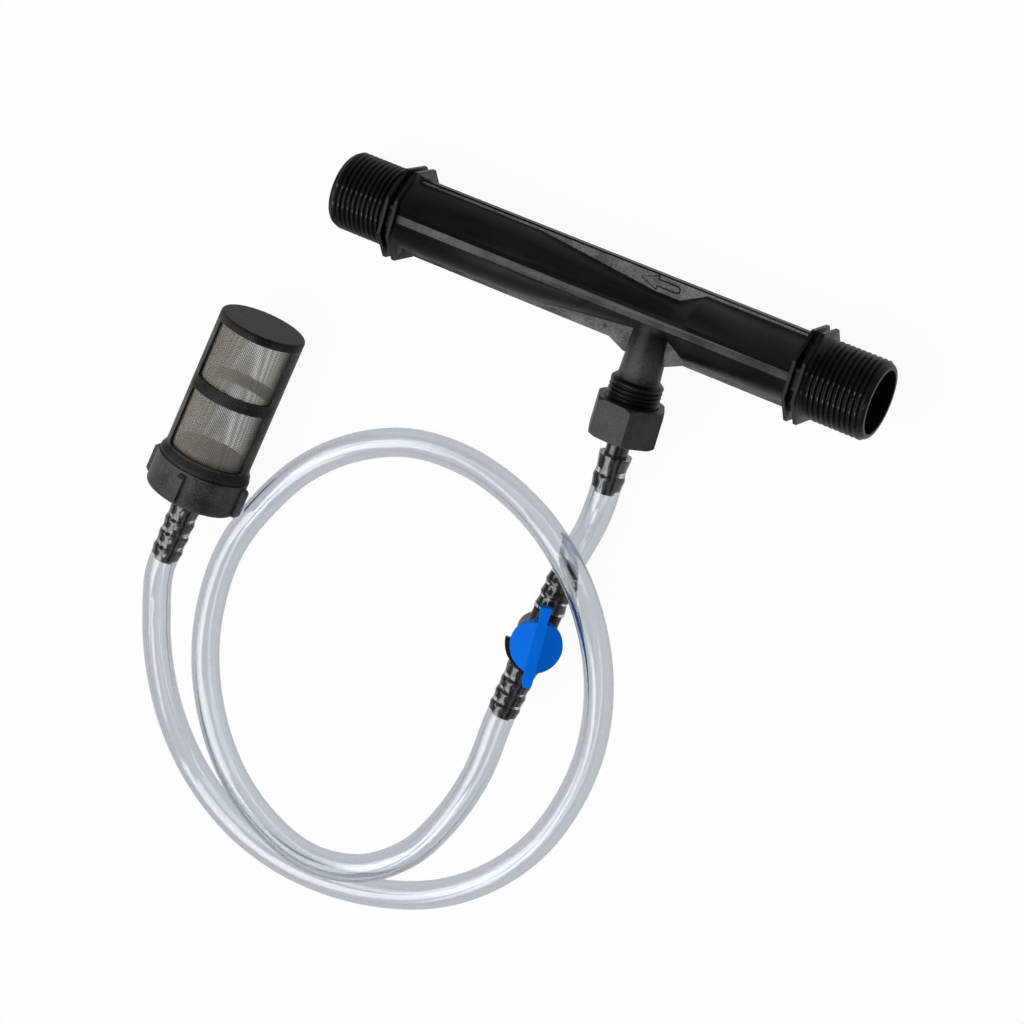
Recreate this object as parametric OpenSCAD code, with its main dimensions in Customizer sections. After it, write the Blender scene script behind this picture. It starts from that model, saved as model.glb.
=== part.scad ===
// Venturi fertilizer injector with a suction hose, a shut-off valve and a foot strainer.
// The body lies along X on its flange flats, its inlet toward +X and its suction branch toward -Y.
// The origin is on the floor, under the middle of the body and its fitted branch.

/* [Body] */
// Length over both threaded ends
body_len = 247; // [200:1:300]
// Major diameter of the pipe threads at the ends
thread_d = 33.25; // [30:0.05:42]
// Length of each threaded end, up to its flange
thread_len = 27.3; // [20:0.1:36]
// Length of the plain lead-in ring in front of each thread
lead_in = 1.4; // [1:0.1:4]
// Drop of the lead-in ring below the thread
lead_drop = 0.9; // [0.5:0.1:1.2]
// Chamfer of the lead-in ring's edge
lead_edge = 0.8; // [0.3:0.1:1.2]
// Wall of the threaded ends with their thread
end_wall = 3.2; // [2.6:0.1:5]
// Height of the flange flats above the thread
flange_lip = 2.5; // [1.5:0.1:5]
// Thickness of each of the two flange plates
plate_t = 1.5; // [1:0.1:2.5]
// Space between the two plates of a flange
plate_gap = 2.7; // [1.5:0.1:5]
// Outer diameter of the plain tube
tube_d = 28.8; // [26:0.1:32]
// Wall of the plain tube
tube_wall = 2.4; // [1.6:0.1:3.6]
// Height of the fins above the plain tube
fin_lip = 1.6; // [0.8:0.1:3]
// Thickness of the fins
fin_t = 3.4; // [2:0.1:5]

/* [Venturi] */
// Place of the suction branch along the body, from the middle toward the inlet
branch_x = 24.6; // [10:0.1:40]
// Outer diameter of the waist
neck_d = 17.4; // [16:0.1:22]
// Bore of the throat
throat_d = 11; // [7:0.1:12]
// Length of the waist on the outlet side of the branch
neck_back = 3.1; // [1:0.1:8]
// Length of the waist on the inlet side of the branch
neck_front = 7.7; // [4:0.1:14]
// Length of the slow cone toward the outlet
diffuser_len = 54.5; // [40:0.5:80]
// Length of the steep cone toward the inlet
inlet_cone_len = 10.7; // [6:0.1:20]

/* [Suction branch] */
// Reach of the branch stub from the body axis
branch_len = 46; // [40:0.5:60]
// Diameter of the branch cone where it meets the body axis
branch_root_d = 15; // [13:0.1:17]
// Diameter of the branch cone under its thread
branch_tip_d = 17.8; // [17:0.1:20]
// Major diameter of the branch thread
branch_thread_d = 22; // [20:0.1:26]
// Length of the branch thread
branch_thread_len = 17.5; // [13:0.1:22]
// Bore of the port into the throat
port_d = 4.4; // [3:0.1:5.5]
// Length of each gusset along its fin
gusset_len = 7.4; // [3:0.1:14]
// Height of the gussets above the fin
gusset_rise = 3.4; // [1:0.1:6]
// Diameter of the check ball
ball_d = 8; // [7:0.1:9]
// Lift of the check ball off its seat
ball_lift = 2.2; // [1:0.1:3]

/* [Suction fitting] */
// Thickness of the branch washer
washer_t = 2; // [1:0.1:3]
// Thickness of the flange under the branch barb
barb_flange_t = 3; // [2:0.1:4]
// Thickness of the nut's floor
nut_floor_t = 3; // [2.5:0.1:6]
// Length of the hex nut
nut_len = 16.2; // [14:0.1:24]
// Size of the hex nut across its flats
nut_af = 27.4; // [26:0.1:34]
// Chamfer of the nut's corners
nut_chamfer = 1.4; // [0.5:0.1:3]
// Turn of the hex nut about its axis
nut_turn = 24; // [0:1:59]
// Bare neck of the branch barb between the nut and the hose
neck_gap = 7.4; // [1:0.1:10]
// Length of the branch barb inside the hose
suction_barb_len = 16.6; // [10:0.1:24]

/* [Hoses and barbs] */
// Outer diameter of the hoses
hose_od = 12.5; // [11:0.1:13]
// Inner diameter of the hoses
hose_id = 8.5; // [7.6:0.1:9.4]
// Height of the barb ridges above the hose bore
barb_rise = 0.8; // [0.2:0.1:1.4]
// Bore of the barbs
barb_bore = 5.8; // [4:0.1:6]

/* [Valve] */
// Distance of the barb tips from the middle of the valve
valve_reach = 36.6; // [28:0.1:42]
// Distance of the hose rims from the middle of the valve
valve_rim = 13.7; // [12:0.1:18]
// Outer diameter of the round housing
housing_d = 15.6; // [15:0.1:20]
// Depth of the housing below the flow axis
housing_drop = 13.6; // [9:0.1:15]
// Height of the housing above the flow axis
housing_rise = 7.6; // [7.2:0.1:10]
// Diameter of the round necks beside the housing
valve_neck_d = 12.6; // [11:0.1:14]
// Diameter of the plug
plug_d = 11.4; // [10.6:0.1:12]
// Section of the O-rings
ring_t = 1.6; // [1.2:0.1:1.8]
// Diameter of the round handle
handle_d = 22; // [18:0.1:28]
// Thickness of the round handle
handle_t = 3; // [2:0.1:4]
// Length of the lever across the handle
lever_len = 35.6; // [28:0.2:44]
// Width of the lever
lever_w = 4.4; // [3:0.1:6]
// Width of the lever's flared end
lever_flare_w = 5.2; // [3:0.1:7]
// Width of the lever at the root of its flared end
lever_waist_w = 3.6; // [2.4:0.1:5]
// Height of the lever above the round handle
lever_h = 3; // [2:0.1:6]
// Turn of the lever away from the fully open position
handle_turn = 9.5; // [0:0.5:80]
// Reach of the housing's stop rim beyond the round handle
stop_lip = 2; // [0.5:0.1:3]

/* [Strainer] */
// Outer diameter of the cage
cage_d = 38.4; // [34:0.1:44]
// Wall of the cage
cage_wall = 1.6; // [1.2:0.1:2.4]
// Thickness of the cap
cap_t = 2.2; // [1.5:0.1:4]
// Rounding of the cap's rim
cap_round = 1.2; // [0.5:0.1:2]
// Distance of the first window from the cap's face
window_start = 3.6; // [3:0.1:8]
// Length of the first window
window_upper = 26.1; // [16:0.1:30]
// Length of the second window
window_lower = 27.8; // [16:0.1:32]
// Width of the ring between the two bands of windows
mid_ring = 5.3; // [3:0.1:10]
// Width of the ring below the windows
foot_ring = 5.2; // [3:0.1:8]
// Flare of the ring below the windows
foot_flare = 1.3; // [0.3:0.1:1.6]
// Width of the windows across the cage
window_w = 33.2; // [24:0.1:35]
// Rounding of the window corners
window_round = 1.2; // [0.6:0.1:5]
// Thickness of the mesh sleeve
mesh_t = 0.45; // [0.3:0.05:0.6]
// Length of the threaded spigot inside the collar
spigot_len = 10; // [7:0.1:14]
// Wall of the collar round the spigot
collar_wall = 2.85; // [2:0.05:4]
// Thickness of the collar's floor
collar_floor_t = 3; // [2:0.1:5]
// Rounding of the collar's lower edge
collar_round = 2; // [0.5:0.1:2.5]
// Height of the grip lugs above the collar
lug_rise = 2.3; // [1:0.1:4]
// Width of the grip lugs
lug_w = 3.2; // [1.5:0.1:5]
// Thickness of the strainer washer
foot_washer_t = 1.5; // [1:0.1:2.5]
// Thickness of the flange under the strainer barb
foot_flange_t = 1.5; // [1:0.1:3]
// Bare neck of the strainer barb between the collar and the hose
foot_neck_gap = 4.5; // [1:0.1:8]
// Length of the strainer barb inside the hose
foot_barb_len = 27.5; // [16:0.1:34]

/* [Hidden] */
$fn = 64;

// Colours as the photograph shows them
black = [0.10, 0.11, 0.12];
blue = [0.00, 0.36, 0.82];
rubber = [0.06, 0.06, 0.06];
clear = [0.86, 0.89, 0.90];
steel_mesh = [0.49, 0.46, 0.42];
ball_white = [0.85, 0.85, 0.82];

// Clearances: between mating threads, at sliding faces, and overrun of cuts past a face
thread_gap = 0.15;
slide_gap = 0.2;
seat_gap = 0.1;
over = 1;

// Body
half_len = body_len / 2;
thread_r = thread_d / 2;
lead_r = thread_r - lead_drop;
thread_x = half_len - lead_in - lead_drop;
end_bore_r = thread_r - end_wall;
tube_r = tube_d / 2;
tube_bore_r = tube_r - tube_wall;
flange_af = thread_d + 2 * flange_lip;
flange_corner_r = flange_af / 2 / cos(22.5);
flange_x = half_len - thread_len;
shoulder_x = flange_x - 2 * plate_t - plate_gap;
fin_r = tube_r + fin_lip;
neck_r = neck_d / 2;
throat_r = throat_d / 2;
fin_root_r = (neck_r + throat_r) / 2;
waist_out_x = branch_x - neck_back;
waist_in_x = branch_x + neck_front;
bore_step = abs(end_bore_r - tube_bore_r);

// Branch, as distances from the body axis along the branch
branch_root_r = branch_root_d / 2;
branch_tip_r = branch_tip_d / 2;
branch_thread_r = branch_thread_d / 2;
branch_thread_z = branch_len - branch_thread_len;
branch_chamfer = 1;
gusset_land = 0.6;
gusset_top = branch_tip_r + gusset_land;
gusset_foot = gusset_top + gusset_len;
ball_r = ball_d / 2;
chamber_r = ball_r + slide_gap;
barb_bore_r = barb_bore / 2;
seat_z = branch_len + washer_t;
ball_z = seat_z - sqrt(pow(ball_r + seat_gap, 2) - pow(barb_bore_r, 2));
chamber_z = ball_z - ball_lift - ball_r - slide_gap;
washer_in_r = chamber_r + 1.2;
washer_out_r = branch_thread_r - branch_chamfer;
nut_bore_r = branch_thread_r + thread_gap;
barb_flange_r = nut_bore_r - slide_gap;
nut_seat_z = seat_z + barb_flange_t;
nut_top_z = nut_seat_z + nut_floor_t;
nut_start_z = nut_top_z - nut_len;
nut_corner_r = nut_af / 2 / cos(30);
hose_rim_z = nut_top_z + neck_gap;
barb_tip_z = hose_rim_z + suction_barb_len;

// Barbs and hoses
hose_out_r = hose_od / 2;
hose_in_r = hose_id / 2;
barb_root_r = hose_in_r - 0.25;
barb_neck_r = hose_in_r + 0.55;
barb_ridge_r = hose_in_r + barb_rise;
barb_pitch = 5.7;
ridge_start = 0.02;
ridge_peak = 0.1;
hose_sides = 12;

// Place of the body on the floor
axis_y = (barb_tip_z - flange_af / 2) / 2;
axis_z = flange_af / 2;

// Valve, about its flow axis X and its handle axis Z
valve_pos = [13.1, -120.7, 16];
valve_heading = -95.5;
valve_pitch = 7;
valve_roll = -26;
housing_r = housing_d / 2;
plug_r = plug_d / 2;
plug_bore_r = plug_r + slide_gap;
plug_foot = -housing_drop + 3;
ring_r = ring_t / 2;
ring_mid_r = plug_bore_r - seat_gap / 2 - ring_r;
groove_r = ring_mid_r - ring_r - seat_gap / 2;
groove_half = ring_r + seat_gap;
ring_z = barb_bore_r + groove_half + 0.8;
bead_rise = 0.3;
bead_z = (ring_z + groove_half + housing_rise) / 2;
bead_half = 0.4;
handle_z = housing_rise + slide_gap;
lever_z = handle_z + handle_t;
lever_r = lever_w / 2;
handle_r = handle_d / 2;
stop_r = handle_r + stop_lip;
stop_t = 2.4;
stop_from = -80;
stop_to = -5;
valve_neck_end = valve_rim - 1;

// Strainer, as distances from the cap's face along its axis
cage_r = cage_d / 2;
cage_bore_r = cage_r - cage_wall;
spigot_r = cage_r - 1.2;
window_mid_z = window_start + window_upper;
window_low_z = window_mid_z + mid_ring;
foot_ring_z = window_low_z + window_lower;
flare_z = foot_ring_z + 1;
cage_foot_z = foot_ring_z + foot_ring;
spigot_z = cage_foot_z + spigot_len;
mesh_r = cage_bore_r - seat_gap;
collar_bore_r = spigot_r + thread_gap;
collar_r = collar_bore_r + collar_wall;
collar_z = cage_foot_z + slide_gap;
foot_washer_r = collar_bore_r - slide_gap;
foot_flange_z = spigot_z + foot_washer_t;
collar_seat_z = foot_flange_z + foot_flange_t;
collar_end_z = collar_seat_z + collar_floor_t;
foot_neck_r = barb_neck_r + 0.6;
foot_rim_z = collar_end_z + foot_neck_gap;
lug_reach = collar_r + lug_rise;
lug_start = collar_z + 1.6;
lug_end = collar_end_z - 1;
lug_bevel = 1.2;
window_turn = 160;
lug_turn = 173;
strainer_heading = -97.5;
strainer_tip = atan((lug_reach - cage_r) / lug_start);
strainer_pos = [-145.4, -39.7, cage_r * cos(strainer_tip)];

// Hose routes: over the fittings' barbs at both ends, and across the floor between them
suction_route = [
    [24.6, -32, 19.1], [24.6, -48.5, 19.1], [24, -56.5, 18.2], [22.5, -63.5, 16], [20.6, -70, 13.6],
    [18.4, -76.8, 11.9], [16.6, -84.5, 11.5], [14.4, -107.2, 14.3]
];
feed_route = [
    [11.8, -134.2, 17.7], [9.6, -156.9, 20.5], [7.4, -185, 21.8], [-0.9, -211.5, 20.6], [-14.5, -235, 18.3],
    [-35, -252, 17], [-60.5, -258.5, 15.5], [-86, -254, 12.5], [-109, -241.5, 9.5], [-127, -221.5, 7.5],
    [-138.5, -197, 6.5], [-142.5, -170.5, 6.5], [-140, -144, 6.5], [-130, -119.5, 6.5], [-115.5, -97, 6.5],
    [-95.5, -79, 6.5], [-71.5, -67, 7.5], [-46, -62.5, 11.5], [-19.5, -63.5, 18.5], [6, -71, 24.8],
    [26.8, -86, 27], [40.8, -108.5, 23], [47.8, -133.8, 16.8], [49, -160, 11.2], [45, -186, 8],
    [36, -211, 6.5], [21, -233, 6.5], [1, -250.5, 6.5], [-23.5, -262.5, 6.5], [-49.5, -269, 6.5],
    [-76, -270, 6.5], [-102, -264, 7], [-125, -250.5, 8.5], [-142, -230.5, 12.5], [-152.5, -207, 18],
    [-158.5, -181.5, 23], [-160.5, -154.5, 26], [-156.9, -127.3, 24.3]
];

// Points of an arc about a centre, from one angle to another
function arc(centre, r, from, to, steps = 6) = [
    for (i = [0:steps]) let (a = from + (to - from) * i / steps) centre + r * [cos(a), sin(a)]
];

// Saw-tooth outline of a barb, as [radius, distance] points from its root to its tip
function barb_outline(root, len) = let (n = floor(len / barb_pitch), step = len / n) [
    for (i = [0:n - 1]) each [
        [barb_root_r, root + (i + ridge_start) * step],
        [barb_ridge_r, root + (i + ridge_peak) * step],
        [barb_root_r, root + (i + 1) * step]
    ]
];

// Outer outline of the body, as [radius, x] points from the outlet to the inlet, plain at the threads
function body_outline() = [
    [0, -half_len],
    [lead_r - lead_edge, -half_len],
    [lead_r, -half_len + lead_edge],
    [lead_r, -half_len + lead_in],
    [thread_r, -thread_x],
    [thread_r, -shoulder_x - plate_t],
    [tube_r, -shoulder_x - plate_t],
    [tube_r, waist_out_x - diffuser_len],
    [neck_r, waist_out_x],
    [neck_r, waist_in_x],
    [tube_r, waist_in_x + inlet_cone_len],
    [tube_r, shoulder_x + plate_t],
    [thread_r, shoulder_x + plate_t],
    [thread_r, thread_x],
    [lead_r, half_len - lead_in],
    [lead_r, half_len - lead_edge],
    [lead_r - lead_edge, half_len],
    [0, half_len]
];

// Flow passage: end bore, tube, slow cone, throat, steep cone, tube and end bore
function flow_outline() = [
    [0, -half_len - over],
    [end_bore_r, -half_len - over],
    [end_bore_r, -flange_x],
    [tube_bore_r, -flange_x + bore_step],
    [tube_bore_r, waist_out_x - diffuser_len],
    [throat_r, waist_out_x],
    [throat_r, waist_in_x],
    [tube_bore_r, waist_in_x + inlet_cone_len],
    [tube_bore_r, flange_x - bore_step],
    [end_bore_r, flange_x],
    [end_bore_r, half_len + over],
    [0, half_len + over]
];

// Places: the body axis, the branch axis (its own Z runs outward), the valve and the strainer
module at_body() {
    translate([0, axis_y, axis_z]) children();
}

module at_branch() {
    at_body() translate([branch_x, 0, 0]) rotate([90, 0, 0]) children();
}

module at_valve() {
    translate(valve_pos) rotate([0, 0, valve_heading]) rotate([0, -valve_pitch, 0]) rotate([valve_roll, 0, 0])
        children();
}

module at_strainer() {
    translate(strainer_pos) rotate([0, 90 - strainer_tip, strainer_heading]) children();
}

module revolve(points) {
    rotate_extrude() polygon(points);
}

module ring(inner_r, outer_r, from, to) {
    revolve([[inner_r, from], [outer_r, from], [outer_r, to], [inner_r, to]]);
}

module bore(r, from, to) {
    translate([0, 0, from]) cylinder(r = r, h = to - from);
}

// Hollow hose swept along the points of its route, with one ring of corners at each point
module hose(route) {
    last = len(route) - 1;
    function unit(v) = v / norm(v);
    function heading(i) = unit(route[min(i + 1, last)] - route[max(i - 1, 0)]);
    function side(i) = unit(cross(heading(i), [0, 0, 1]));
    function corner(i, k, r) = let (a = 360 * k / hose_sides)
        route[i] + r * (cos(a) * side(i) + sin(a) * cross(side(i), heading(i)));
    function at(i, k, inner) = (i * 2 + inner) * hose_sides + k % hose_sides;
    points = [
        for (i = [0:last]) for (r = [hose_out_r, hose_in_r]) for (k = [0:hose_sides - 1]) corner(i, k, r)
    ];
    walls = [
        for (i = [0:last - 1]) for (k = [0:hose_sides - 1]) each [
            [at(i, k, 0), at(i, k + 1, 0), at(i + 1, k + 1, 0), at(i + 1, k, 0)],
            [at(i, k, 1), at(i + 1, k, 1), at(i + 1, k + 1, 1), at(i, k + 1, 1)]
        ]
    ];
    rims = [
        for (k = [0:hose_sides - 1]) each [
            [at(0, k, 0), at(0, k, 1), at(0, k + 1, 1), at(0, k + 1, 0)],
            [at(last, k, 0), at(last, k + 1, 0), at(last, k + 1, 1), at(last, k, 1)]
        ]
    ];
    polyhedron(points, concat(walls, rims));
}

module flange_plates() {
    for (end = [-1, 1]) for (x = [flange_x - plate_t, shoulder_x]) {
        translate([end * (x + plate_t / 2), 0, 0]) rotate([0, 90, 0]) rotate([0, 0, 22.5])
            cylinder(r = flange_corner_r, h = plate_t, center = true, $fn = 8);
    }
}

// Three plain fins at the far side, top and bottom, and the branch's fin with its gussets
module fins() {
    fin_len = 2 * shoulder_x + plate_t;
    for (turn = [0, 90, -90]) {
        rotate([turn, 0, 0]) translate([-fin_len / 2, fin_root_r, -fin_t / 2])
            cube([fin_len, fin_r - fin_root_r, fin_t]);
    }
    translate([0, 0, -fin_t / 2]) linear_extrude(fin_t) polygon([
        [-fin_len / 2, -fin_root_r],
        [-fin_len / 2, -fin_r],
        [branch_x - gusset_foot, -fin_r],
        [branch_x - gusset_top, -fin_r - gusset_rise],
        [branch_x + gusset_top, -fin_r - gusset_rise],
        [branch_x + gusset_foot, -fin_r],
        [fin_len / 2, -fin_r],
        [fin_len / 2, -fin_root_r]
    ]);
}

module branch_stub() {
    revolve([
        [0, 0],
        [branch_root_r, 0],
        [branch_tip_r, branch_thread_z],
        [branch_thread_r - branch_chamfer, branch_thread_z],
        [branch_thread_r, branch_thread_z + branch_chamfer],
        [branch_thread_r, branch_len - branch_chamfer],
        [branch_thread_r - branch_chamfer, branch_len],
        [0, branch_len]
    ]);
}

module venturi_body() {
    color(black) difference() {
        union() {
            at_body() rotate([0, 90, 0]) revolve(body_outline());
            at_body() flange_plates();
            at_body() fins();
            at_branch() branch_stub();
        }
        at_body() rotate([0, 90, 0]) revolve(flow_outline());
        at_branch() bore(port_d / 2, 0, chamber_z + over);
        at_branch() bore(chamber_r, chamber_z, branch_len + over);
    }
}

module check_ball() {
    color(ball_white) at_branch() translate([0, 0, ball_z]) sphere(r = ball_r);
}

module suction_washer() {
    color(rubber) at_branch() ring(washer_in_r, washer_out_r, branch_len, seat_z);
}

module suction_barb() {
    color(black) at_branch() difference() {
        revolve(concat(
            [[0, seat_z], [barb_flange_r, seat_z], [barb_flange_r, nut_seat_z], [barb_neck_r, nut_seat_z]],
            [[barb_neck_r, hose_rim_z], [barb_root_r, hose_rim_z]],
            barb_outline(hose_rim_z, suction_barb_len),
            [[0, barb_tip_z]]
        ));
        bore(barb_bore_r, seat_z - over, barb_tip_z + over);
    }
}

module suction_nut() {
    color(black) at_branch() difference() {
        intersection() {
            translate([0, 0, nut_start_z]) rotate([0, 0, 90 - nut_turn])
                cylinder(r = nut_corner_r, h = nut_len, $fn = 6);
            revolve([
                [0, nut_start_z],
                [nut_corner_r - nut_chamfer, nut_start_z],
                [nut_corner_r, nut_start_z + nut_chamfer],
                [nut_corner_r, nut_top_z - nut_chamfer],
                [nut_corner_r - nut_chamfer, nut_top_z],
                [0, nut_top_z]
            ]);
        }
        bore(nut_bore_r, nut_start_z - over, nut_seat_z);
        bore(barb_neck_r + slide_gap, nut_seat_z - over, nut_top_z + over);
    }
}

module suction_hose() {
    color(clear) hose(suction_route);
}

// One arm of the valve along its own Z: round neck, bare shank and barb
module valve_arm() {
    revolve(concat(
        [[0, 0], [valve_neck_d / 2, 0], [valve_neck_d / 2, valve_neck_end], [barb_neck_r, valve_neck_end]],
        [[barb_neck_r, valve_rim], [barb_root_r, valve_rim]],
        barb_outline(valve_rim, valve_reach - valve_rim),
        [[0, valve_reach]]
    ));
}

// Stop rim of the housing beside the handle, over less than a quarter turn
module stop_rim() {
    intersection() {
        bore(stop_r, housing_rise - stop_t, housing_rise);
        translate([0, 0, housing_rise - stop_t]) linear_extrude(stop_t)
            polygon(concat([[0, 0]], arc([0, 0], 2 * stop_r, stop_from, stop_to)));
    }
}

module valve_body() {
    color(black) at_valve() difference() {
        union() {
            bore(housing_r, -housing_drop, housing_rise);
            stop_rim();
            rotate([0, 90, 0]) valve_arm();
            rotate([0, -90, 0]) valve_arm();
        }
        bore(plug_bore_r, plug_foot - slide_gap, housing_rise + over);
        bore(plug_bore_r + bead_rise, bead_z - bead_half - slide_gap, bead_z + bead_half + slide_gap);
        rotate([0, 90, 0]) bore(barb_bore_r, -valve_reach - over, valve_reach + over);
    }
}

// Blue handle: a round disc with sloping cheeks up to the lever, and the plug under it
module valve_plug() {
    color(blue) at_valve() rotate([0, 0, handle_turn]) difference() {
        union() {
            revolve([
                [0, plug_foot],
                [plug_r, plug_foot],
                [plug_r, -ring_z - groove_half],
                [groove_r, -ring_z - groove_half],
                [groove_r, -ring_z + groove_half],
                [plug_r, -ring_z + groove_half],
                [plug_r, ring_z - groove_half],
                [groove_r, ring_z - groove_half],
                [groove_r, ring_z + groove_half],
                [plug_r, ring_z + groove_half],
                [plug_r, bead_z - bead_half],
                [plug_r + bead_rise, bead_z],
                [plug_r, bead_z + bead_half],
                [plug_r, handle_z],
                [handle_r, handle_z],
                [handle_r, lever_z],
                [0, lever_z]
            ]);
            intersection() {
                bore(handle_r, handle_z, lever_z + lever_h);
                rotate([90, 0, 90]) linear_extrude(handle_d, center = true) polygon([
                    [-handle_r, lever_z - seat_gap],
                    [handle_r, lever_z - seat_gap],
                    [lever_r, lever_z + lever_h],
                    [-lever_r, lever_z + lever_h]
                ]);
            }
            translate([0, 0, lever_z - seat_gap]) linear_extrude(lever_h + seat_gap) lever_shape();
        }
        rotate([0, 90, 0]) bore(barb_bore_r, -plug_d, plug_d);
    }
}

// Plan of the lever: a bar with one round end and one flared end
module lever_shape() {
    end_x = lever_len / 2 - lever_r;
    translate([end_x, 0]) circle(r = lever_r);
    polygon([
        [-lever_len / 2, -lever_flare_w / 2],
        [-handle_r, -lever_waist_w / 2],
        [0, -lever_r],
        [end_x, -lever_r],
        [end_x, lever_r],
        [0, lever_r],
        [-handle_r, lever_waist_w / 2],
        [-lever_len / 2, lever_flare_w / 2]
    ]);
}

module valve_o_ring(z) {
    color(rubber) at_valve() translate([0, 0, z]) rotate_extrude()
        translate([ring_mid_r, 0]) circle(r = ring_r);
}

module feed_hose() {
    color(clear) hose(feed_route);
}

module strainer_barb() {
    color(black) at_strainer() difference() {
        revolve(concat(
            [[0, foot_flange_z], [foot_washer_r, foot_flange_z], [foot_washer_r, collar_seat_z]],
            [[foot_neck_r, collar_seat_z], [foot_neck_r, foot_rim_z], [barb_root_r, foot_rim_z]],
            barb_outline(foot_rim_z, foot_barb_len),
            [[0, foot_rim_z + foot_barb_len]]
        ));
        bore(barb_bore_r, foot_flange_z - over, foot_rim_z + foot_barb_len + over);
    }
}

// Round collar with four grip lugs
module strainer_nut() {
    hole_r = foot_neck_r + slide_gap;
    color(black) at_strainer() union() {
        revolve(concat(
            [[collar_bore_r, collar_z], [collar_r, collar_z]],
            arc([collar_r - collar_round, collar_end_z - collar_round], collar_round, 0, 90),
            [[hole_r, collar_end_z], [hole_r, collar_seat_z], [collar_bore_r, collar_seat_z]]
        ));
        for (k = [0:3]) {
            rotate([90, 0, lug_turn + 90 * k]) linear_extrude(lug_w, center = true) polygon([
                [collar_r - collar_wall / 2, lug_start],
                [lug_reach - lug_bevel, lug_start],
                [lug_reach, lug_start + lug_bevel],
                [lug_reach, lug_end - lug_bevel],
                [lug_reach - lug_bevel, lug_end],
                [collar_r - collar_wall / 2, lug_end]
            ]);
        }
    }
}

module strainer_washer() {
    color(rubber) at_strainer() ring(foot_washer_r - 3.5, foot_washer_r, spigot_z, foot_flange_z);
}

// Window across the cage, open at the front and the back
module cage_window(from, to) {
    x = window_w / 2 - window_round;
    rotate([0, 0, window_turn]) rotate([90, 0, 90]) linear_extrude(cage_d + over, center = true) {
        translate([-window_w / 2, from + window_round]) square([window_w, to - from - 2 * window_round]);
        translate([-x, from]) square([2 * x, to - from]);
        for (side = [-1, 1]) for (z = [from + window_round, to - window_round]) {
            translate([side * x, z]) circle(r = window_round);
        }
    }
}

module strainer_cage() {
    color(black) at_strainer() difference() {
        revolve(concat(
            [[0, 0]],
            arc([cage_r - cap_round, cap_round], cap_round, -90, 0),
            [[cage_r, flare_z], [cage_r + foot_flare, flare_z + 2 * foot_flare]],
            [[cage_r + foot_flare, cage_foot_z], [spigot_r, cage_foot_z], [spigot_r, spigot_z]],
            [[cage_bore_r, spigot_z], [cage_bore_r, cap_t], [0, cap_t]]
        ));
        cage_window(window_start, window_mid_z);
        cage_window(window_low_z, foot_ring_z);
    }
}

module strainer_mesh() {
    color(steel_mesh) at_strainer() ring(mesh_r - mesh_t, mesh_r, cap_t + seat_gap, spigot_z - seat_gap);
}

venturi_body();
check_ball();
suction_washer();
suction_barb();
suction_nut();
suction_hose();
valve_body();
valve_plug();
valve_o_ring(ring_z);  // valve_o_ring_upper
valve_o_ring(-ring_z);  // valve_o_ring_lower
feed_hose();
strainer_barb();
strainer_nut();
strainer_washer();
strainer_cage();
strainer_mesh();
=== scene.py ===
"""Venturi fertilizer injector with its clear hoses, valve and strainer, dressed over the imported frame.

Lengths are metres in the part's own frame: +Z up from the floor, +X along the body toward the inlet.
"""
import math

import bmesh
import bpy
from mathutils import Matrix, Vector


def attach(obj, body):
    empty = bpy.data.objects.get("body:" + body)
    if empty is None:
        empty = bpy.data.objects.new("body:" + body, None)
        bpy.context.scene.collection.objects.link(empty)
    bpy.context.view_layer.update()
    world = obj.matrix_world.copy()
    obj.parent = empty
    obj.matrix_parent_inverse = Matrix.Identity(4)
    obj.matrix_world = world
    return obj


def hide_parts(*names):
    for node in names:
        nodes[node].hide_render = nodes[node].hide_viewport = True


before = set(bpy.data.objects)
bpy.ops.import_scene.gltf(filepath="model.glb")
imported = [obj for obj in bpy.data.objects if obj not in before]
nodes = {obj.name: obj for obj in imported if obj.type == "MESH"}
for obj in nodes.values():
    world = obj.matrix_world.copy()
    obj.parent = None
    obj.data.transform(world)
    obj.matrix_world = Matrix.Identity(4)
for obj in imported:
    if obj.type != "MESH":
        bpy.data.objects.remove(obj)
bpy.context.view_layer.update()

# Driving sizes of the model, repeated from its source
MM = 0.001
BODY_AXIS_Y = 29.4375 * MM
BODY_AXIS_Z = 19.125 * MM
FLANGE_X = 96.2 * MM
THREAD_R = 16.625 * MM
THREAD_END = 121.2 * MM
FIN_T = 3.4 * MM
FIN_R = 16 * MM
BRANCH_X = 24.6 * MM
BRANCH_THREAD_R = 11 * MM
BRANCH_THREAD_FROM = 28.5 * MM
BRANCH_THREAD_TO = 46 * MM
HOSE_OUT_R = 6.25 * MM
HOSE_IN_R = 4.25 * MM
BARB_ROOT_R = 4 * MM
BARB_RIDGE_R = 5.05 * MM
BARB_PITCH = 5.7 * MM
BARB_PEAK = 0.1
BARB_BITE = 0.15 * MM
SUCTION_BARB = 16.6 * MM
VALVE_BARB = 22.9 * MM
STRAINER_BARB = 27.5 * MM
MESH_R = 17.5 * MM
MESH_FROM = 2.4 * MM
MESH_TO = 77.8 * MM
STRAINER_CAP = Vector((-0.1454, -0.0397, 0.01917))
STRAINER_HEADING = math.radians(-97.5)
STRAINER_TIP = math.radians(3.362)
WINDOW_UPPER = 26.1 * MM
WINDOW_UPPER_MID = 16.65 * MM
WINDOW_LOWER = 27.8 * MM
WINDOW_LOWER_MID = 48.9 * MM

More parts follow.
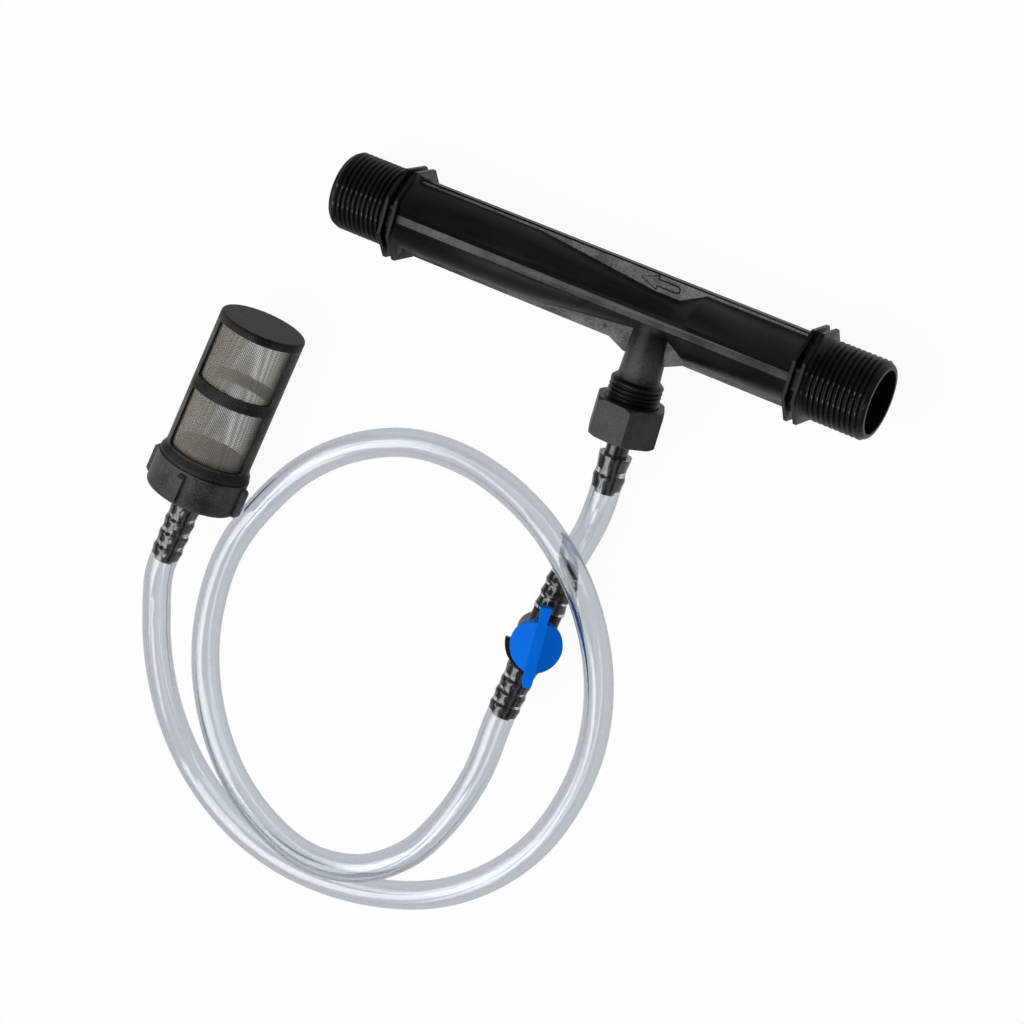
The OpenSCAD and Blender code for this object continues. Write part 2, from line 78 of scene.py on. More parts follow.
SUCTION_ROUTE = [
    (0.0246, -0.032, 0.0191), (0.0246, -0.0485, 0.0191), (0.024, -0.0565, 0.0182),
    (0.0225, -0.0635, 0.016), (0.0206, -0.07, 0.0136), (0.0184, -0.0768, 0.0119),
    (0.0166, -0.0845, 0.0115), (0.0144, -0.1072, 0.0143),
]
FEED_ROUTE = [
    (0.0118, -0.1342, 0.0177), (0.0096, -0.1569, 0.0205), (0.0074, -0.185, 0.0218),
    (-0.0009, -0.2115, 0.0206), (-0.0145, -0.235, 0.0183), (-0.035, -0.252, 0.017),
    (-0.0605, -0.2585, 0.0155), (-0.086, -0.254, 0.0125), (-0.109, -0.2415, 0.0095),
    (-0.127, -0.2215, 0.0075), (-0.1385, -0.197, 0.0065), (-0.1425, -0.1705, 0.0065),
    (-0.14, -0.144, 0.0065), (-0.13, -0.1195, 0.0065), (-0.1155, -0.097, 0.0065),
    (-0.0955, -0.079, 0.0065), (-0.0715, -0.067, 0.0075), (-0.046, -0.0625, 0.0115),
    (-0.0195, -0.0635, 0.0185), (0.006, -0.071, 0.0248), (0.0268, -0.086, 0.027),
    (0.0408, -0.1085, 0.023), (0.0478, -0.1338, 0.0168), (0.049, -0.16, 0.0112),
    (0.045, -0.186, 0.008), (0.036, -0.211, 0.0065), (0.021, -0.233, 0.0065),
    (0.001, -0.2505, 0.0065), (-0.0235, -0.2625, 0.0065), (-0.0495, -0.269, 0.0065),
    (-0.076, -0.27, 0.0065), (-0.102, -0.264, 0.007), (-0.125, -0.2505, 0.0085),
    (-0.142, -0.2305, 0.0125), (-0.1525, -0.207, 0.018), (-0.1585, -0.1815, 0.023),
    (-0.1605, -0.1545, 0.026), (-0.1569, -0.1273, 0.0243),
]

# Camera at the photograph's place: a long lens, high over the inlet end, rolled
CAMERA_AT = Vector((0.46571, 0.34047, 1.18925))
CAMERA_RIGHT = Vector((0.85545, 0.26732, -0.44356))
CAMERA_UP = Vector((-0.37304, 0.91216, -0.16971))
LENS_MM = 113.0
SENSOR_MM = 36.0


def make_camera():
    """Camera from its place and its right and up directions."""
    data = bpy.data.cameras.new("camera")
    data.lens = LENS_MM
    data.sensor_width = SENSOR_MM
    data.clip_start = 0.01
    data.clip_end = 20
    camera = bpy.data.objects.new("camera", data)
    bpy.context.collection.objects.link(camera)
    back = CAMERA_RIGHT.cross(CAMERA_UP)
    axes = Matrix((CAMERA_RIGHT, CAMERA_UP, back)).transposed()
    camera.matrix_world = Matrix.Translation(CAMERA_AT) @ axes.to_4x4()
    bpy.context.scene.camera = camera


# Mesh helpers
def new_object(name, mesh, material):
    """Object for a finished mesh, with one material."""
    mesh.name = name
    mesh.materials.clear()
    mesh.materials.append(material)
    piece = bpy.data.objects.new(name, mesh)
    bpy.context.collection.objects.link(piece)
    return piece


def smooth_by_angle(mesh, degrees):
    """Smooth shading with sharp edges above an angle."""
    mesh.shade_smooth()
    mesh.set_sharp_from_angle(angle=math.radians(degrees))


def headings(pts):
    """Unit direction of a smooth curve at each of its points; its first and last spans are straight."""
    ways = [(b - a).normalized() for a, b in zip(pts, pts[1:])]
    spans = [(b - a).length for a, b in zip(pts, pts[1:])]
    inner = [
        (before * after_len + after * before_len).normalized()
        for before, after, before_len, after_len in zip(ways[1:], ways[2:-1], spans[1:], spans[2:-1])
    ]
    return [ways[0], ways[0]] + inner + [ways[-1], ways[-1]]


def spline_path(points, step, end_step):
    """Points a step apart on a smooth curve through the given points, closer in its straight end spans."""
    pts = [Vector(p) for p in points]
    ways = headings(pts)
    path = []
    for i, (b, c) in enumerate(zip(pts, pts[1:])):
        span = (c - b).length
        at_end = i in (0, len(pts) - 2)
        count = max(2, round(span / (end_step if at_end else step)))
        for k in range(count):
            t = k / count
            path.append(
                (2 * t**3 - 3 * t**2 + 1) * b
                + (t**3 - 2 * t**2 + t) * span * ways[i]
                + (3 * t**2 - 2 * t**3) * c
                + (t**3 - t**2) * span * ways[i + 1]
            )
    path.append(pts[-1])
    return path


def path_length(path):
    """Length of a line of points."""
    return sum((b - a).length for a, b in zip(path, path[1:]))


def sweep_rings(bm, path, radii, sides):
    """Rings of vertices round each point of a path, kept from twisting; one radius per point."""
    rings = []
    across = None
    for i, point in enumerate(path):
        ahead = (path[min(i + 1, len(path) - 1)] - path[max(i - 1, 0)]).normalized()
        if across is None:
            across = ahead.orthogonal().normalized()
        across = (across - ahead * across.dot(ahead)).normalized()
        up = ahead.cross(across)
        ring = []
        for k in range(sides):
            a = 2 * math.pi * k / sides
            ring.append(bm.verts.new(point + radii[i] * (math.cos(a) * across + math.sin(a) * up)))
        rings.append(ring)
    return rings


def bridge(bm, ring_a, ring_b, flip=False):
    """Quads between two rings of the same size."""
    n = len(ring_a)
    for k in range(n):
        quad = [ring_a[k], ring_a[(k + 1) % n], ring_b[(k + 1) % n], ring_b[k]]
        bm.faces.new(quad[::-1] if flip else quad)


def mesh_from(bm, name):
    """Mesh data from a finished bmesh."""
    bm.normal_update()
    mesh = bpy.data.meshes.new(name)
    bm.to_mesh(mesh)
    bm.free()
    return mesh


def strainer_axes():
    """Strainer axis away from the cap, and the two directions across it."""
    along = Vector((
        math.cos(STRAINER_HEADING) * math.cos(STRAINER_TIP),
        math.sin(STRAINER_HEADING) * math.cos(STRAINER_TIP),
        math.sin(STRAINER_TIP),
    ))
    across = Vector((-math.sin(STRAINER_HEADING), math.cos(STRAINER_HEADING), 0))
    return along, across, along.cross(across)


# Materials
GRAIN = 0.0007
GRAIN_DEPTH = 0.00012
EDGE_RADIUS = 0.0004
MIX_FIRST, MIX_SECOND, MIX_RESULT = 6, 7, 2
MOTTLE_SCALE = 90.0
MOTTLE_LOW = 0.4
MOTTLE_HIGH = 0.62
SMOOTHER = 0.06
ROUGHER = 0.1
GLOSS_TINT = (0.85, 0.94, 1, 1)
EDGE_FADE = 0.05
# Painted sheen on the body: its upward-facing level webs, its top crest and its branch's cone are painted
# lighter, standing in for the light falling on them
LEVEL_SLICE = 0.3 * MM
LEVEL_FACING = 0.95
FAR_EDGE = 0.7 * MM
NEAR_SHEEN_SHARE = 0.55
CREST_SHEEN_SHARE = 0.3
CONE_FROM = 8 * MM
CONE_FULL = 22 * MM
CONE_SHEEN_SHARE = 0.22


def material_with_nodes(name):
    """Empty node material, its node tree and its output node."""
    material = bpy.data.materials.new(name)
    material.use_nodes = True
    tree = material.node_tree
    tree.nodes.clear()
    output = tree.nodes.new("ShaderNodeOutputMaterial")
    return material, tree, output


def node(tree, kind, **inputs):
    """Node of a kind, with socket values by name (spaces written as underscores)."""
    made = tree.nodes.new(kind)
    for key, value in inputs.items():
        made.inputs[key.replace("_", " ")].default_value = value
    return made


def two_colours(tree, low, dark, high, light):
    """Ramp from a dark colour to a light one."""
    ramp = tree.nodes.new("ShaderNodeValToRGB")
    ramp.color_ramp.elements[0].position = low
    ramp.color_ramp.elements[0].color = (*dark, 1)
    ramp.color_ramp.elements[1].position = high
    ramp.color_ramp.elements[1].color = (*light, 1)
    return ramp


def math_node(tree, operation, first, second):
    """Math node on two sockets or values."""
    made = tree.nodes.new("ShaderNodeMath")
    made.operation = operation
    for socket, value in zip(made.inputs, (first, second)):
        if isinstance(value, float):
            socket.default_value = value
        else:
            tree.links.new(value, socket)
    return made.outputs[0]


def fade(tree, value, none_at, full_at):
    """0 up to one value, rising to 1 at another."""
    made = node(tree, "ShaderNodeMapRange", From_Min=none_at, From_Max=full_at)
    tree.links.new(value, made.inputs["Value"])
    return made.outputs["Result"]


def near(tree, value, middle, half):
    """1 where a value lies within a half width of a middle, fading out at the ends of that range."""
    away = math_node(tree, "ABSOLUTE", math_node(tree, "SUBTRACT", value, middle), 0.0)
    return fade(tree, away, half * (1 + EDGE_FADE), half * (1 - EDGE_FADE))


def moulded_plastic(
    name, colour, light, roughness, gloss,
    grain_m=GRAIN, grain_depth=GRAIN_DEPTH, edge_m=EDGE_RADIUS, lighter_patch=None,
):
    """Moulded plastic: mottled colour, fine grain in the surface and softly rounded edges.

    The last argument gives a function for where the surface is painted lighter and speckled, and the two
    colours there; on the body this is painted sheen.
    """
    material, tree, output = material_with_nodes(name)
    link = tree.links.new
    place = tree.nodes.new("ShaderNodeTexCoord")
    mottle = node(tree, "ShaderNodeTexNoise", Scale=MOTTLE_SCALE, Detail=4.0)
    grain = node(tree, "ShaderNodeTexNoise", Scale=1 / grain_m, Detail=3.0)
    both = math_node(tree, "ADD", mottle.outputs["Fac"], grain.outputs["Fac"])
    blend = math_node(tree, "MULTIPLY", both, 0.5)
    ramp = two_colours(tree, MOTTLE_LOW, colour, MOTTLE_HIGH, light)
    rounded = node(tree, "ShaderNodeBevel", Radius=edge_m)
    rounded.samples = 6
    bump = node(tree, "ShaderNodeBump", Strength=0.6, Distance=grain_depth)
    rough = node(tree, "ShaderNodeMapRange", To_Min=roughness - SMOOTHER, To_Max=roughness + ROUGHER)
    shader = node(tree, "ShaderNodeBsdfPrincipled", IOR=1.49, Specular_IOR_Level=gloss)
    shader.inputs["Specular Tint"].default_value = GLOSS_TINT
    link(place.outputs["Object"], mottle.inputs["Vector"])
    link(place.outputs["Object"], grain.inputs["Vector"])
    link(blend, ramp.inputs["Fac"])
    link(mottle.outputs["Fac"], rough.inputs["Value"])
    link(grain.outputs["Fac"], bump.inputs["Height"])
    link(rounded.outputs["Normal"], bump.inputs["Normal"])
    link(rough.outputs["Result"], shader.inputs["Roughness"])
    link(bump.outputs["Normal"], shader.inputs["Normal"])
    link(shader.outputs["BSDF"], output.inputs["Surface"])
    # Lighter, speckled colour mixed in where the given function says; on the body it is painted sheen
    if lighter_patch:
        where, dark, bright = lighter_patch
        speckle = two_colours(tree, MOTTLE_LOW, dark, MOTTLE_HIGH, bright)
        mix = tree.nodes.new("ShaderNodeMix")
        mix.data_type = "RGBA"
        link(blend, speckle.inputs["Fac"])
        link(where(tree), mix.inputs["Factor"])
        link(ramp.outputs["Color"], mix.inputs[MIX_FIRST])
        link(speckle.outputs["Color"], mix.inputs[MIX_SECOND])
        link(mix.outputs[MIX_RESULT], shader.inputs["Base Color"])
    else:
        link(ramp.outputs["Color"], shader.inputs["Base Color"])
    return material


def painted_sheen_on_body(tree):
    """Where the body is painted lighter, a painted sheen of the light falling on it: its level webs and,
    faintly, its top crest where they face up, and its branch's cone.
    """
    here = tree.nodes.new("ShaderNodeNewGeometry")
    at = tree.nodes.new("ShaderNodeSeparateXYZ")
    facing = tree.nodes.new("ShaderNodeSeparateXYZ")
    tree.links.new(here.outputs["Position"], at.inputs["Vector"])
    tree.links.new(here.outputs["True Normal"], facing.inputs["Vector"])
    x, y, z = at.outputs["X"], at.outputs["Y"], at.outputs["Z"]
    slice_at_web = near(tree, z, BODY_AXIS_Z + FIN_T / 2, LEVEL_SLICE)
    inside = math_node(tree, "LESS_THAN", y, BODY_AXIS_Y + FIN_R - FAR_EDGE)
    far_side = math_node(tree, "GREATER_THAN", y, BODY_AXIS_Y)
    share = math_node(tree, "MULTIPLY", inside, math_node(tree, "MAXIMUM", far_side, NEAR_SHEEN_SHARE))
    web = math_node(tree, "MULTIPLY", slice_at_web, share)
    slice_at_crest = near(tree, z, BODY_AXIS_Z + FIN_R, LEVEL_SLICE)
    crest = math_node(tree, "MULTIPLY", slice_at_crest, CREST_SHEEN_SHARE)
    # Painted sheen on level faces only where they face up, toward the lamps overhead
    looks_up = math_node(tree, "GREATER_THAN", facing.outputs["Z"], LEVEL_FACING)
    level = math_node(tree, "MULTIPLY", math_node(tree, "MAXIMUM", web, crest), looks_up)
    # Painted sheen on the branch's cone, lighter away from the tube up to its thread
    outward = fade(tree, y, BODY_AXIS_Y - CONE_FROM, BODY_AXIS_Y - CONE_FULL)
    before_thread = math_node(tree, "GREATER_THAN", y, BODY_AXIS_Y - BRANCH_THREAD_FROM)
    beside = near(tree, x, BRANCH_X, BRANCH_THREAD_R)
    branch = math_node(tree, "MULTIPLY", math_node(tree, "MULTIPLY", before_thread, beside), outward)
    return math_node(tree, "MAXIMUM", level, math_node(tree, "MULTIPLY", branch, CONE_SHEEN_SHARE))


def cage_struts(tree):
    """Where the cage is coloured lighter and speckled: beside its two bands of windows."""
    here = tree.nodes.new("ShaderNodeNewGeometry")
    from_cap = tree.nodes.new("ShaderNodeVectorMath")
    from_cap.operation = "SUBTRACT"
    from_cap.inputs[1].default_value = STRAINER_CAP
    along = tree.nodes.new("ShaderNodeVectorMath")
    along.operation = "DOT_PRODUCT"
    along.inputs[1].default_value = strainer_axes()[0]
    tree.links.new(here.outputs["Position"], from_cap.inputs[0])
    tree.links.new(from_cap.outputs["Vector"], along.inputs[0])
    distance = along.outputs["Value"]
    upper = near(tree, distance, WINDOW_UPPER_MID, WINDOW_UPPER / 2)
    lower = near(tree, distance, WINDOW_LOWER_MID, WINDOW_LOWER / 2)
    return math_node(tree, "MAXIMUM", upper, lower)


def clear_hose():
    """Clear soft tube: refracting, grey in its thickness, and letting light through to the floor."""
    material, tree, output = material_with_nodes("clear_hose")
    link = tree.links.new
    place = tree.nodes.new("ShaderNodeTexCoord")
    waves = node(tree, "ShaderNodeTexNoise", Scale=60.0, Detail=2.0)
    bump = node(tree, "ShaderNodeBump", Strength=0.15, Distance=0.0002)
    shader = node(tree, "ShaderNodeBsdfPrincipled", Roughness=0.05, IOR=1.48, Transmission_Weight=1.0)
    shader.inputs["Base Color"].default_value = (0.97, 0.98, 0.985, 1)
    through = tree.nodes.new("ShaderNodeBsdfTransparent")
    through.inputs["Color"].default_value = (0.93, 0.94, 0.95, 1)
    path = tree.nodes.new("ShaderNodeLightPath")
    mix = tree.nodes.new("ShaderNodeMixShader")
    volume = node(tree, "ShaderNodeVolumeAbsorption", Density=340.0)
    volume.inputs["Color"].default_value = (0.60, 0.633, 0.67, 1)
    link(place.outputs["Object"], waves.inputs["Vector"])
    link(waves.outputs["Fac"], bump.inputs["Height"])
    link(bump.outputs["Normal"], shader.inputs["Normal"])
    link(path.outputs["Is Shadow Ray"], mix.inputs["Fac"])
    link(shader.outputs["BSDF"], mix.inputs[1])
    link(through.outputs["BSDF"], mix.inputs[2])
    link(mix.outputs["Shader"], output.inputs["Surface"])
    link(volume.outputs["Volume"], output.inputs["Volume"])
    return material


def wire_material():
    """Dull stainless wire with a brownish cast."""
    material, tree, output = material_with_nodes("mesh_wire")
    link = tree.links.new
    place = tree.nodes.new("ShaderNodeTexCoord")
    stain = node(tree, "ShaderNodeTexNoise", Scale=70.0, Detail=3.0)
    ramp = two_colours(tree, 0, (0.16, 0.143, 0.122), 1, (0.30, 0.272, 0.24))
    shader = node(tree, "ShaderNodeBsdfPrincipled", Metallic=0.4, Roughness=0.42)
    link(place.outputs["Object"], stain.inputs["Vector"])
    link(stain.outputs["Fac"], ramp.inputs["Fac"])
    link(ramp.outputs["Color"], shader.inputs["Base Color"])
    link(shader.outputs["BSDF"], output.inputs["Surface"])
    return material


DEEP, DARK = (0.0010, 0.0014, 0.0018), (0.0030, 0.0038, 0.0046)
MOTTLED = (0.004, 0.0046, 0.0052), (0.026, 0.028, 0.031)
# Painted sheen: lighter, speckled colours for the body's level webs, crest and branch cone
WEB_PAINTED_SHEEN = (painted_sheen_on_body, (0.08, 0.083, 0.088), (0.22, 0.227, 0.236))
# Lighter, speckled colour on the cage beside its windows
STRUT_LIGHTER_SPECKLE = (cage_struts, (0.015, 0.0155, 0.016), (0.08, 0.08, 0.08))

body_black = moulded_plastic(
    "body_plastic", DEEP, DARK, roughness=0.38, gloss=0.14, lighter_patch=WEB_PAINTED_SHEEN,
)
black = moulded_plastic("black_plastic", DEEP, DARK, roughness=0.40, gloss=0.25)
nut_black = moulded_plastic(
    "nut_plastic", (0.008, 0.009, 0.0095), (0.03, 0.032, 0.034), roughness=0.5, gloss=0.3,
    grain_depth=0.0002, edge_m=0.0005,
)
cage_black = moulded_plastic(
    "cage_plastic", *MOTTLED, roughness=0.45, gloss=0.06, grain_depth=0.0002, lighter_patch=STRUT_LIGHTER_SPECKLE,
)
collar_black = moulded_plastic(
    "collar_plastic", (0.008, 0.009, 0.01), (0.045, 0.047, 0.05), roughness=0.45, gloss=0.2,
    grain_depth=0.0002,
)
barb_black = moulded_plastic(
    "barb_plastic", DEEP, DARK, roughness=0.2, gloss=0.5,
    grain_m=0.0006, grain_depth=0.00003, edge_m=0.0002,
)
blue = moulded_plastic(
    "blue_plastic", (0.0, 0.115, 0.57), (0.0, 0.13, 0.63), roughness=0.55, gloss=0.04,
    grain_m=0.0006, grain_depth=0.00003,
)
rubber = moulded_plastic(
    "seal_rubber", (0.012, 0.012, 0.012), (0.02, 0.02, 0.02), roughness=0.6, gloss=0.3,
    grain_m=0.0005, grain_depth=0.00002, edge_m=0.0001,
)
white = moulded_plastic(
    "ball_plastic", (0.72, 0.72, 0.70), (0.8, 0.8, 0.78), roughness=0.35, gloss=0.5,
    grain_m=0.0008, grain_depth=0.00001, edge_m=0.0001,
)
hose_clear = clear_hose()
wire = wire_material()

NODE_MATERIALS = {
    "venturi_body": body_black,
    "suction_nut": nut_black,
    "valve_body": black,
    "strainer_nut": collar_black,
    "strainer_cage": cage_black,
    "suction_barb": barb_black,
    "strainer_barb": barb_black,
    "valve_plug": blue,
    "suction_washer": rubber,
    "strainer_washer": rubber,
    "valve_o_ring_upper": rubber,
    "valve_o_ring_lower": rubber,
    "check_ball": white,
    "strainer_mesh": wire,
    "suction_hose": hose_clear,
    "feed_hose": hose_clear,
}


# Hoses
HOSE_SIDES = 48
HOSE_STEP = 3 * MM
BARB_STEP = 0.55 * MM
HOSE_SHARP_DEG = 40


def barb_radius(from_rim, length):
    """Radius of the stretched hose bore over a barb: tight on each ridge, off the barb before the next."""
    if from_rim > length:
        return HOSE_IN_R
    step = length / math.floor(length / BARB_PITCH)
    along = from_rim / step % 1
    if along < BARB_PEAK:
        rise = 1 if from_rim < step else along / BARB_PEAK
    else:
        rise = 1 - (along - BARB_PEAK) / (1 - BARB_PEAK)
    return max(HOSE_IN_R, BARB_ROOT_R + (BARB_RIDGE_R - BARB_ROOT_R) * rise - BARB_BITE)


def hose_tube(name, route, barb_ends):
    """Hollow hose along a route, drawn tight over the barbs at its ends; barb_ends are the barb lengths."""
    path = spline_path(route, HOSE_STEP, BARB_STEP)
    total = path_length(path)
    wall = HOSE_OUT_R - HOSE_IN_R
    bores = []
    walked = 0.0
    for i, point in enumerate(path):
        if i:
            walked += (point - path[i - 1]).length
        bores.append(max(barb_radius(walked, barb_ends[0]), barb_radius(total - walked, barb_ends[1])))
    radii_out = [
        wall + (bores[max(0, i - 1)] + bores[i] + bores[min(i + 1, len(bores) - 1)]) / 3
        for i in range(len(bores))
    ]
    bm = bmesh.new()
    outer = sweep_rings(bm, path, radii_out, HOSE_SIDES)
    inner = sweep_rings(bm, path, bores, HOSE_SIDES)
    for a, b in zip(outer, outer[1:]):
        bridge(bm, a, b)
    for a, b in zip(inner, inner[1:]):
        bridge(bm, a, b, flip=True)
    bridge(bm, outer[0], inner[0], flip=True)
    bridge(bm, outer[-1], inner[-1])
    bmesh.ops.recalc_face_normals(bm, faces=bm.faces)
    mesh = mesh_from(bm, name)
    smooth_by_angle(mesh, HOSE_SHARP_DEG)
    piece = new_object(name, mesh, hose_clear)
    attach(piece, "injector")
    return piece, path


def make_hoses():
    """Both hoses: the short one to the valve, the long one on to the strainer."""
    short, short_path = hose_tube("suction_hose_tube", SUCTION_ROUTE, (SUCTION_BARB, VALVE_BARB))
    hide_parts("suction_hose")
    long, long_path = hose_tube("feed_hose_tube", FEED_ROUTE, (VALVE_BARB, STRAINER_BARB))
    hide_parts("feed_hose")
    mesh_piece = make_strainer_mesh()


# Strainer mesh
WIRES = 146
RINGS = 102
WIRE_R = 0.18 * MM
WIRE_SIDES = 3
WEAVE = 0.1 * MM


def make_strainer_mesh():
    """Woven wire sleeve: wires along it and rings round it, each waving over and under the others."""
    along, across, up = strainer_axes()
    pitch = (MESH_TO - MESH_FROM) / RINGS
    middle_r = MESH_R - WIRE_R - WEAVE
    bm = bmesh.new()

    def at(angle, t, r):
        return STRAINER_CAP + along * t + r * (math.cos(angle) * across + math.sin(angle) * up)

    def thread(points, closed):
        made = sweep_rings(bm, points, [WIRE_R] * len(points), WIRE_SIDES)
        for a, b in zip(made, made[1:]):
            bridge(bm, a, b)
        if closed:
            bridge(bm, made[-1], made[0])

    for w in range(WIRES):
        angle = 2 * math.pi * w / WIRES
        sign = 1 if w % 2 else -1
        thread([
            at(angle, MESH_FROM + pitch * (k + 0.5), middle_r + sign * WEAVE * (1 if k % 2 else -1))
            for k in range(RINGS)
        ], False)
    for k in range(RINGS):
        t = MESH_FROM + pitch * (k + 0.5)
        sign = -1 if k % 2 else 1
        thread([
            at(2 * math.pi * w / WIRES, t, middle_r + sign * WEAVE * (1 if w % 2 else -1))
            for w in range(WIRES)
        ], True)
    mesh = mesh_from(bm, "strainer_mesh_wires")
    mesh.shade_smooth()
    piece = new_object("strainer_mesh_wires", mesh, wire)
    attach(piece, "injector")
    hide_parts("strainer_mesh")
    return piece


# Body threads and marks
THREAD_PITCH = 2.309 * MM
THREAD_DEPTH = 1.15 * MM
BRANCH_PITCH = 1.814 * MM
BRANCH_DEPTH = 0.9 * MM
GROOVE_STEPS = 48
GROOVE_RISE = 0.0003
GROOVE_MOUTH = 0.46
GROOVE_ROOT = 0.09
GROOVE_LEAD = 0.6
BRANCH_LEAD_OUT = 0.5
WELD = 0.000002
BODY_SHARP_DEG = 25


def thread_groove(bm, origin, along, start, turns, radius, pitch, depth):
    """Closed helical groove cutter round an axis, from a distance along it."""
    across = along.orthogonal().normalized()
    up = along.cross(across)
    profile = [
        (GROOVE_RISE, -GROOVE_MOUTH), (-depth, -GROOVE_ROOT),
        (-depth, GROOVE_ROOT), (GROOVE_RISE, GROOVE_MOUTH),
    ]
    rings = []
    for i in range(round(turns * GROOVE_STEPS) + 1):
        a = 2 * math.pi * i / GROOVE_STEPS
        out = math.cos(a) * across + math.sin(a) * up
        rise = start + pitch * i / GROOVE_STEPS
        rings.append([
            bm.verts.new(origin + along * (rise + shift * pitch) + out * (radius + high))
            for high, shift in profile
        ])
    for a, b in zip(rings, rings[1:]):
        bridge(bm, a, b)
    bm.faces.new(rings[0])
    bm.faces.new(rings[-1][::-1])


def cut_body_threads():
    """Body with its three threads cut into the plain cylinders."""
    axis = Vector((0, BODY_AXIS_Y, BODY_AXIS_Z))
    branch = Vector((BRANCH_X, BODY_AXIS_Y, BODY_AXIS_Z))
    bm = bmesh.new()
    start = FLANGE_X + GROOVE_LEAD * THREAD_PITCH
    turns = (THREAD_END - FLANGE_X) / THREAD_PITCH - GROOVE_LEAD
    for side in (-1, 1):
        thread_groove(bm, axis, Vector((side, 0, 0)), start, turns, THREAD_R, THREAD_PITCH, THREAD_DEPTH)
    branch_turns = (BRANCH_THREAD_TO - BRANCH_THREAD_FROM) / BRANCH_PITCH - BRANCH_LEAD_OUT
    thread_groove(
        bm, branch, Vector((0, -1, 0)), BRANCH_THREAD_FROM + BRANCH_PITCH, branch_turns,
        BRANCH_THREAD_R, BRANCH_PITCH, BRANCH_DEPTH,
    )
    bmesh.ops.recalc_face_normals(bm, faces=bm.faces)
    cutter = bpy.data.objects.new("thread_cutter", mesh_from(bm, "thread_cutter"))
    bpy.context.collection.objects.link(cutter)
    body = new_object("venturi_body_threaded", nodes["venturi_body"].data.copy(), body_black)
    weld = bmesh.new()
    weld.from_mesh(body.data)
    bmesh.ops.remove_doubles(weld, verts=weld.verts, dist=WELD)
    weld.to_mesh(body.data)
    weld.free()
    cut = body.modifiers.new("threads", "BOOLEAN")
    cut.operation = "DIFFERENCE"
    cut.solver = "MANIFOLD"
    cut.object = cutter
    bpy.context.view_layer.update()
    finished = bpy.data.meshes.new_from_object(body.evaluated_get(bpy.context.evaluated_depsgraph_get()))
    body.modifiers.clear()
    body.data = finished
    smooth_by_angle(finished, BODY_SHARP_DEG)
    bpy.data.objects.remove(cutter)
    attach(body, "injector")
    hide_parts("venturi_body")


def make_arrow():
    """Raised outline of a flow arrow on the top of the far fin, pointing to the outlet."""
    ridge_r = 0.35 * MM
    top = BODY_AXIS_Z + FIN_T / 2
    tip, neck, tail, tail_point = 13.7 * MM, 21.2 * MM, 30 * MM, 31.2 * MM
    middle, head, shaft = 41.6 * MM, 2.85 * MM, 1.4 * MM
    corners = [(tip, 0), (neck, head), (neck, shaft), (tail, shaft), (tail_point, shaft / 2)]
    corners += [(x, -y) for x, y in corners[:0:-1]]
    data = bpy.data.curves.new("flow_arrow", "CURVE")
    data.dimensions = "3D"
    data.bevel_depth = ridge_r
    data.bevel_resolution = 2
    line = data.splines.new("POLY")
    line.points.add(len(corners) - 1)
    for point, (x, y) in zip(line.points, corners):
        point.co = (x, middle + y, top, 1)
    line.use_cyclic_u = True
    data.materials.append(body_black)
    arrow = bpy.data.objects.new("flow_arrow", data)
    bpy.context.collection.objects.link(arrow)
    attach(arrow, "injector")


def make_ejector_mark():
    """Small round mark on the near fin, where the mould's ejector pin stood."""
    place = Matrix.Translation((4.7 * MM, 16.65 * MM, BODY_AXIS_Z + FIN_T / 2))
    foot_r, top_r, height = 0.9 * MM, 0.8 * MM, 0.3 * MM
    bm = bmesh.new()
    bmesh.ops.create_cone(
        bm, cap_ends=True, segments=24, radius1=foot_r, radius2=top_r, depth=height, matrix=place,
    )
    mark = new_object("ejector_mark", mesh_from(bm, "ejector_mark"), black)
    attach(mark, "injector")


# Floor, lights and world
FLOOR_HALF = 4.0
BACKDROP_HEIGHT = 0.9
GLOW_SHARE = 0.95
DIM_BELOW, RING_FROM, RING_TO, DIM_ABOVE = 0.44, 0.5, 0.72, 0.78


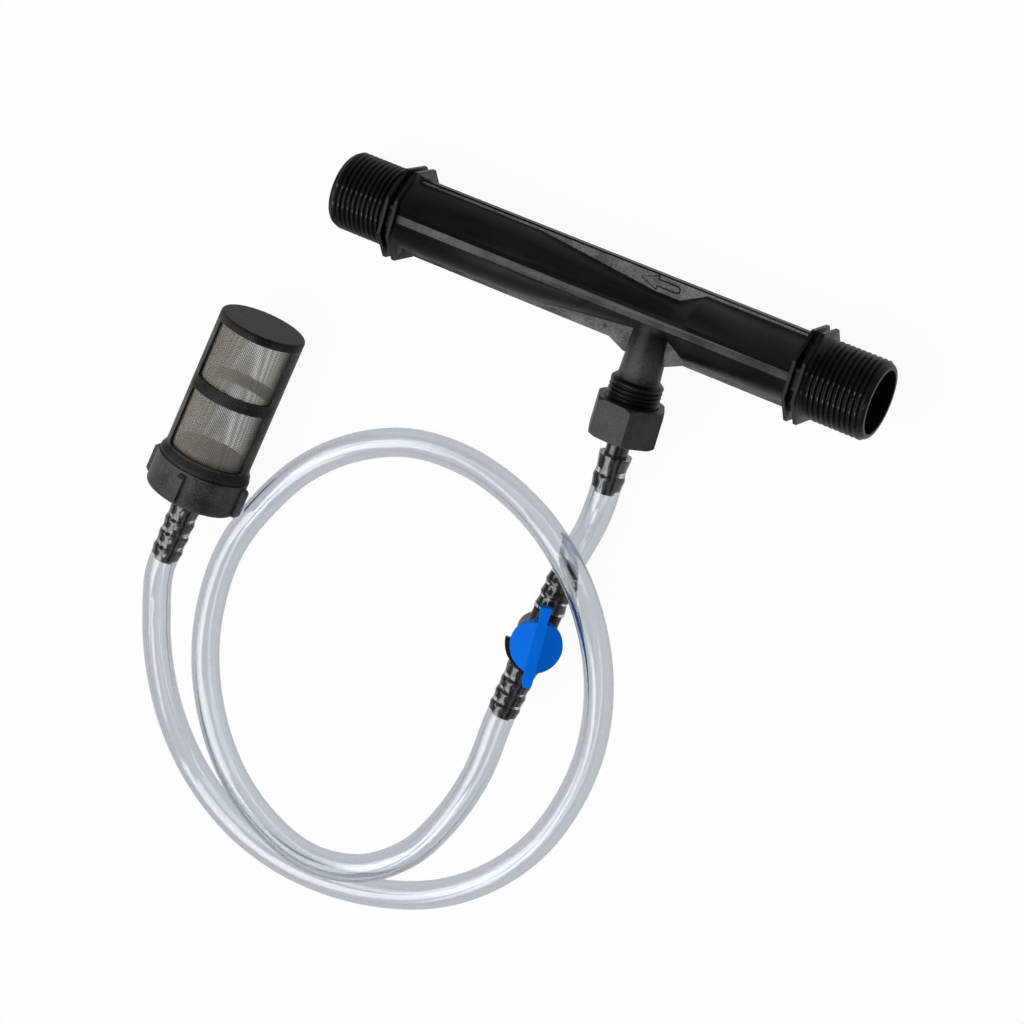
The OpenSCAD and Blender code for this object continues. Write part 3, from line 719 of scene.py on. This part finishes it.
def make_floor():
    """White floor with a low backdrop round it: white behind the object, with a faint shadow."""
    material, tree, output = material_with_nodes("floor_white")
    link = tree.links.new
    path = tree.nodes.new("ShaderNodeLightPath")
    through = math_node(tree, "MAXIMUM", path.outputs["Is Camera Ray"], path.outputs["Is Transmission Ray"])
    seen = math_node(tree, "MAXIMUM", through, path.outputs["Is Glossy Ray"])
    share = math_node(tree, "MULTIPLY", seen, GLOW_SHARE)
    matt = node(tree, "ShaderNodeBsdfDiffuse", Color=(0.6, 0.6, 0.6, 1))
    glow = node(tree, "ShaderNodeEmission", Strength=1.0)
    mix = tree.nodes.new("ShaderNodeMixShader")
    link(share, mix.inputs["Fac"])
    link(matt.outputs["BSDF"], mix.inputs[1])
    link(glow.outputs["Emission"], mix.inputs[2])
    link(mix.outputs["Shader"], output.inputs["Surface"])
    bm = bmesh.new()
    bmesh.ops.create_grid(bm, x_segments=1, y_segments=1, size=FLOOR_HALF)
    for made in bmesh.ops.extrude_edge_only(bm, edges=bm.edges[:])["geom"]:
        if isinstance(made, bmesh.types.BMVert):
            made.co.z = BACKDROP_HEIGHT
    floor = new_object("floor", mesh_from(bm, "floor"), material)


def area_light(name, place, target, size, power):
    """Square softbox at a place, facing a target."""
    data = bpy.data.lights.new(name, "AREA")
    data.shape = "SQUARE"
    data.size = size
    data.energy = power
    lamp = bpy.data.objects.new(name, data)
    bpy.context.collection.objects.link(lamp)
    lamp.location = place
    lamp.rotation_mode = "QUATERNION"
    lamp.rotation_quaternion = (Vector(target) - Vector(place)).to_track_quat("-Z", "Y")


def make_world():
    """Dim room with a ring of soft light high round it."""
    world = bpy.data.worlds.new("studio")
    bpy.context.scene.world = world
    world.use_nodes = True
    tree = world.node_tree
    tree.nodes.clear()
    link = tree.links.new
    output = tree.nodes.new("ShaderNodeOutputWorld")
    place = tree.nodes.new("ShaderNodeTexCoord")
    split = tree.nodes.new("ShaderNodeSeparateXYZ")
    ramp = two_colours(tree, DIM_BELOW, (0.04, 0.041, 0.042), DIM_ABOVE, (0.1, 0.1, 0.102))
    for height in (RING_FROM, RING_TO):
        ramp.color_ramp.elements.new(height).color = (1, 1, 1, 1)
    soft = node(tree, "ShaderNodeBackground", Strength=0.9)
    link(place.outputs["Generated"], split.inputs["Vector"])
    link(split.outputs["Z"], ramp.inputs["Fac"])
    link(ramp.outputs["Color"], soft.inputs["Color"])
    link(soft.outputs["Background"], output.inputs["Surface"])


CENTRE = (-0.05, -0.1, 0.0)

make_camera()
make_hoses()
cut_body_threads()
make_arrow()
make_ejector_mark()
for name, material in NODE_MATERIALS.items():
    slots = nodes[name].data.materials
    slots.clear()
    slots.append(material)
make_floor()
area_light("key_light", (-0.65, -0.61, 1.39), CENTRE, size=1.0, power=18)
area_light("top_light", (-0.1, -0.05, 1.5), CENTRE, size=0.6, power=5)
area_light("left_light", (-1.3, -0.1, 1.2), CENTRE, size=0.6, power=4)
area_light("front_light", (0.0, -1.35, 1.25), CENTRE, size=0.6, power=6)
make_world()
bpy.context.scene.view_settings.view_transform = "Standard"
